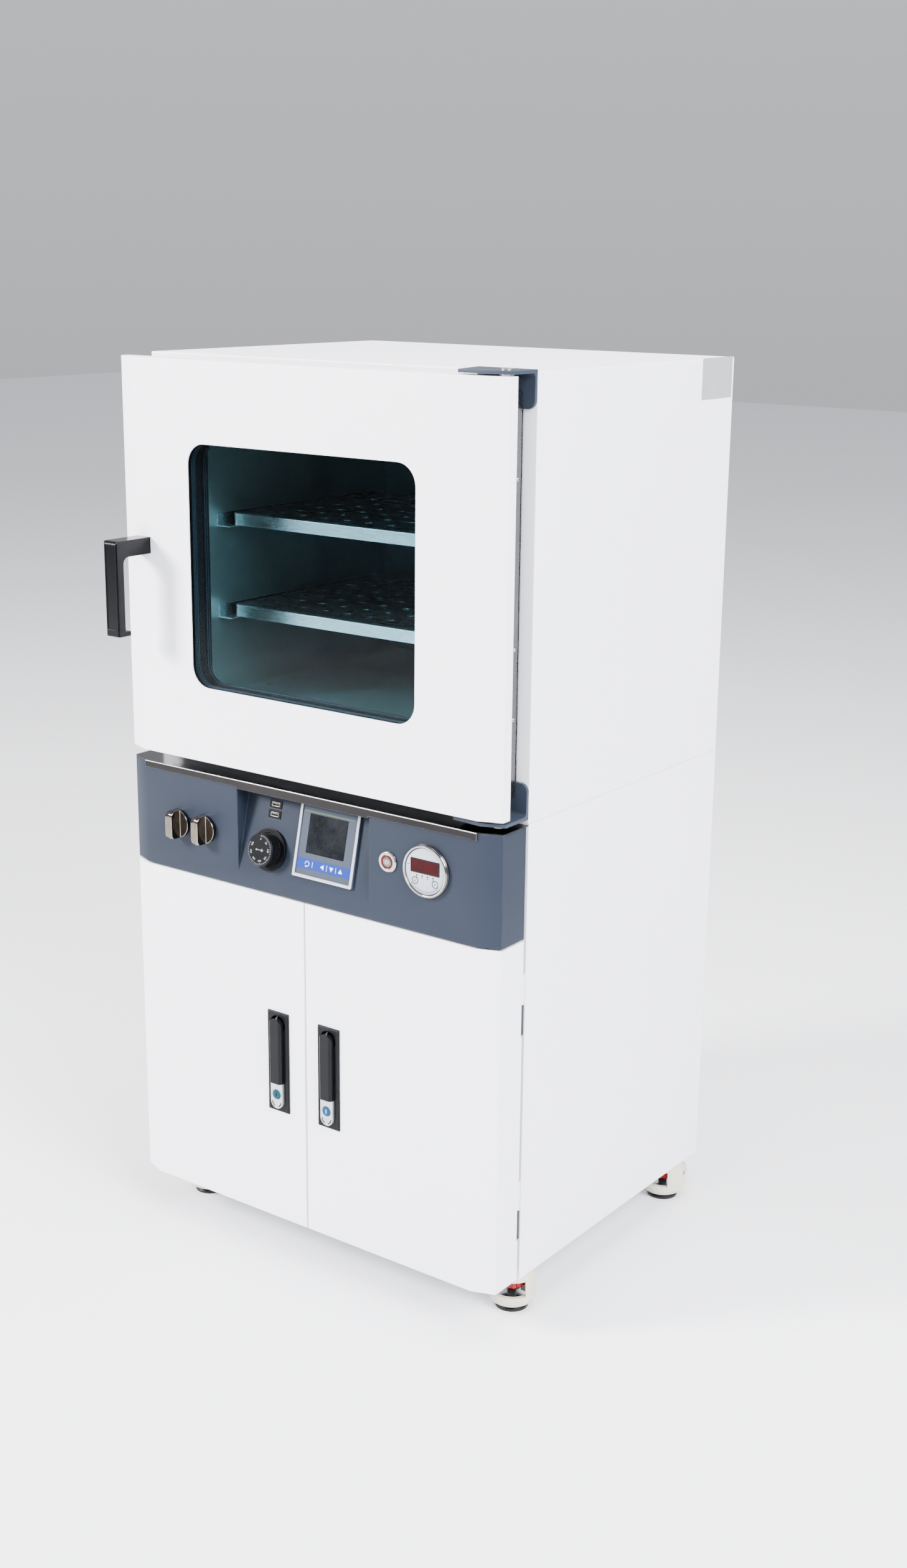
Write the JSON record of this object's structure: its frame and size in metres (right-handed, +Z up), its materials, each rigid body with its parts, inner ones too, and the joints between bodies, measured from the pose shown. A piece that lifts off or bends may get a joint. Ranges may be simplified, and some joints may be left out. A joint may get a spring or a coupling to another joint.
{
  "type": "vacuum oven",
  "caption": "Free-standing laboratory vacuum oven: glazed hinged door over a steel chamber with shelves, sloped control console, two-door pump cabinet and levelling castors.",
  "frame": {"origin": "centre of the footprint box on the floor, under the levelling pads", "axes": "+Z up, front faces -Y, +X to the right seen from the front"},
  "size_m": [0.6, 0.603, 1.194],
  "materials": {
    "case_white": "fine-textured white powder coat",
    "panel_slate": "blue-grey powder coat",
    "plate_blue": "dark blue-grey powder coat",
    "stainless": "brushed stainless sheet",
    "chamber_steel": "satin stainless chamber",
    "zinc": "zinc-plated steel",
    "chrome": "polished chrome plate",
    "black_plastic": "moulded black plastic",
    "black_lock": "black painted zinc lock",
    "instrument_grey": "grey instrument housing",
    "button_metal": "satin metal button",
    "ivory": "ivory powder coat on die-cast cup",
    "nylon": "black nylon wheel",
    "red_plastic": "red thumbwheel",
    "silicone": "dark silicone rubber",
    "pane_glass": "tempered outer pane",
    "thick_glass": "thick laminated inner glass",
    "wool": "mineral wool jacket",
    "heater": "silicone heater mat",
    "brass": "brass valves and pipes",
    "board_green": "circuit board"
  },
  "bodies": {
    "cabinet": {"lower_cabinet": "case_white", "upper_case": "case_white", "lower_back_cover": "case_white", "upper_back_cover": "case_white", "front_frame": "stainless", "chamber": "chamber_steel", "insulation": "wool", "heater_mats": "heater", "shelf_lower": "stainless", "shelf_upper": "stainless", "shelf_supports": "stainless", "door_gasket": "silicone", "ledge_trim": "stainless", "control_panel": "panel_slate", "controller": "instrument_grey", "usb_sockets": "black_plastic", "overtemp_base": "black_plastic", "vacuum_pipework": "brass", "power_bezel": "chrome", "vacuum_gauge": "chrome", "hinge_plate_top": "plate_blue", "hinge_plate_bottom": "plate_blue", "hinge_pins": "zinc", "control_board": "board_green", "power_inlet": "black_plastic", "cabinet_hinges": "zinc"},
    "oven_door": {"oven_door_skin": "case_white", "oven_door_frame": "stainless", "window_pane": "pane_glass", "window_glass": "thick_glass", "window_seal": "silicone"},
    "oven_handle": {"oven_handle": "black_plastic", "oven_latch": "zinc"},
    "cabinet_door_left": {"cabinet_door_left": "case_white", "lock_body_left": "black_lock"},
    "cabinet_door_right": {"cabinet_door_right": "case_white", "lock_body_right": "black_lock"},
    "lock_spindle_left": {"lock_spindle_left": "zinc"},
    "lock_spindle_right": {"lock_spindle_right": "zinc"},
    "lock_lever_left": {"lock_lever_left": "black_lock"},
    "lock_lever_right": {"lock_lever_right": "black_lock"},
    "lock_release_left": {"lock_release_left": "chrome"},
    "lock_release_right": {"lock_release_right": "chrome"},
    "valve_knob_inlet": {"valve_knob_inlet": "chrome"},
    "valve_knob_vacuum": {"valve_knob_vacuum": "chrome"},
    "overtemp_dial": {"overtemp_dial": "black_plastic"},
    "power_button": {"power_button": "button_metal"},
    "castor_cup_front_left": {"castor_cup_front_left": "ivory"},
    "castor_wheel_front_left": {"castor_wheel_front_left": "nylon"},
    "castor_foot_front_left": {"castor_foot_front_left": "red_plastic"},
    "castor_cup_front_right": {"castor_cup_front_right": "ivory"},
    "castor_wheel_front_right": {"castor_wheel_front_right": "nylon"},
    "castor_foot_front_right": {"castor_foot_front_right": "red_plastic"},
    "castor_cup_rear_left": {"castor_cup_rear_left": "ivory"},
    "castor_wheel_rear_left": {"castor_wheel_rear_left": "nylon"},
    "castor_foot_rear_left": {"castor_foot_rear_left": "red_plastic"},
    "castor_cup_rear_right": {"castor_cup_rear_right": "ivory"},
    "castor_wheel_rear_right": {"castor_wheel_rear_right": "nylon"},
    "castor_foot_rear_right": {"castor_foot_rear_right": "red_plastic"}
  },
  "joints": [
    {"name": "oven_door_swing", "type": "hinge", "parent": "cabinet", "child": "oven_door", "pos_m": [0.285, -0.2155, 0.678], "axis": [0, 0, 1], "range_deg": [0, 110]},
    {"name": "oven_handle_turn", "type": "hinge", "parent": "oven_door", "child": "oven_handle", "pos_m": [-0.258, -0.2405, 0.951], "axis": [0, 1, 0], "range_deg": [0, 90]},
    {"name": "cabinet_door_left_swing", "type": "hinge", "parent": "cabinet", "child": "cabinet_door_left", "pos_m": [-0.2975, -0.1785, 0.064], "axis": [0, 0, -1], "range_deg": [0, 100]},
    {"name": "cabinet_door_right_swing", "type": "hinge", "parent": "cabinet", "child": "cabinet_door_right", "pos_m": [0.2975, -0.1785, 0.064], "axis": [0, 0, 1], "range_deg": [0, 100]},
    {"name": "lock_left_turn", "type": "hinge", "parent": "cabinet_door_left", "child": "lock_spindle_left", "pos_m": [-0.0425, -0.2385, 0.344], "axis": [0, 1, 0], "range_deg": [0, 90]},
    {"name": "lock_left_flip", "type": "hinge", "parent": "lock_spindle_left", "child": "lock_lever_left", "pos_m": [-0.0425, -0.2447, 0.344], "axis": [-1, 0, 0], "range_deg": [0, 32]},
    {"name": "lock_left_release", "type": "slide", "parent": "cabinet_door_left", "child": "lock_release_left", "axis": [0, 1, 0], "range_m": [0, 0.002], "stiffness_N_per_m": 400, "springref_m": -0.001},
    {"name": "lock_right_turn", "type": "hinge", "parent": "cabinet_door_right", "child": "lock_spindle_right", "pos_m": [0.0425, -0.2385, 0.344], "axis": [0, -1, 0], "range_deg": [0, 90]},
    {"name": "lock_right_flip", "type": "hinge", "parent": "lock_spindle_right", "child": "lock_lever_right", "pos_m": [0.0425, -0.2447, 0.344], "axis": [-1, 0, 0], "range_deg": [0, 32]},
    {"name": "lock_right_release", "type": "slide", "parent": "cabinet_door_right", "child": "lock_release_right", "axis": [0, 1, 0], "range_m": [0, 0.002], "stiffness_N_per_m": 400, "springref_m": -0.001},
    {"name": "valve_inlet_turn", "type": "hinge", "parent": "cabinet", "child": "valve_knob_inlet", "pos_m": [-0.211, -0.2385, 0.587], "axis": [0, 1, 0], "range_deg": [0, 90]},
    {"name": "valve_vacuum_turn", "type": "hinge", "parent": "cabinet", "child": "valve_knob_vacuum", "pos_m": [-0.165, -0.2385, 0.587], "axis": [0, 1, 0], "range_deg": [0, 90]},
    {"name": "overtemp_dial_turn", "type": "hinge", "parent": "cabinet", "child": "overtemp_dial", "pos_m": [-0.06, -0.2304, 0.57658], "axis": [0, 0.9744, -0.225], "range_deg": [0, 290]},
    {"name": "power_button_press", "type": "slide", "parent": "cabinet", "child": "power_button", "axis": [0, 1, 0], "range_m": [0, 0.002], "stiffness_N_per_m": 400, "springref_m": -0.001},
    {"name": "castor_front_left_swivel", "type": "hinge", "parent": "cabinet", "child": "castor_cup_front_left", "pos_m": [-0.266, -0.1405, 0], "axis": [0, 0, 1], "continuous": true},
    {"name": "castor_front_left_roll", "type": "hinge", "parent": "castor_cup_front_left", "child": "castor_wheel_front_left", "pos_m": [-0.24769, -0.10607, 0.0185], "axis": [0.8829, -0.4695, 0], "continuous": true},
    {"name": "castor_front_left_level", "type": "slide", "parent": "castor_cup_front_left", "child": "castor_foot_front_left", "axis": [0, 0, 1], "range_m": [0, 0.005]},
    {"name": "castor_front_right_swivel", "type": "hinge", "parent": "cabinet", "child": "castor_cup_front_right", "pos_m": [0.266, -0.1405, 0], "axis": [0, 0, 1], "continuous": true},
    {"name": "castor_front_right_roll", "type": "hinge", "parent": "castor_cup_front_right", "child": "castor_wheel_front_right", "pos_m": [0.24769, -0.10607, 0.0185], "axis": [0.8829, 0.4695, 0], "continuous": true},
    {"name": "castor_front_right_level", "type": "slide", "parent": "castor_cup_front_right", "child": "castor_foot_front_right", "axis": [0, 0, 1], "range_m": [0, 0.005]},
    {"name": "castor_rear_left_swivel", "type": "hinge", "parent": "cabinet", "child": "castor_cup_rear_left", "pos_m": [-0.266, 0.2445, 0], "axis": [0, 0, 1], "continuous": true},
    {"name": "castor_rear_left_roll", "type": "hinge", "parent": "castor_cup_rear_left", "child": "castor_wheel_rear_left", "pos_m": [-0.266, 0.2835, 0.0185], "axis": [1, 0, 0], "continuous": true},
    {"name": "castor_rear_left_level", "type": "slide", "parent": "castor_cup_rear_left", "child": "castor_foot_rear_left", "axis": [0, 0, 1], "range_m": [0, 0.005]},
    {"name": "castor_rear_right_swivel", "type": "hinge", "parent": "cabinet", "child": "castor_cup_rear_right", "pos_m": [0.266, 0.2445, 0], "axis": [0, 0, 1], "continuous": true},
    {"name": "castor_rear_right_roll", "type": "hinge", "parent": "castor_cup_rear_right", "child": "castor_wheel_rear_right", "pos_m": [0.266, 0.2835, 0.0185], "axis": [1, 0, 0], "continuous": true},
    {"name": "castor_rear_right_level", "type": "slide", "parent": "castor_cup_rear_right", "child": "castor_foot_rear_right", "axis": [0, 0, 1], "range_m": [0, 0.005]}
  ]
}
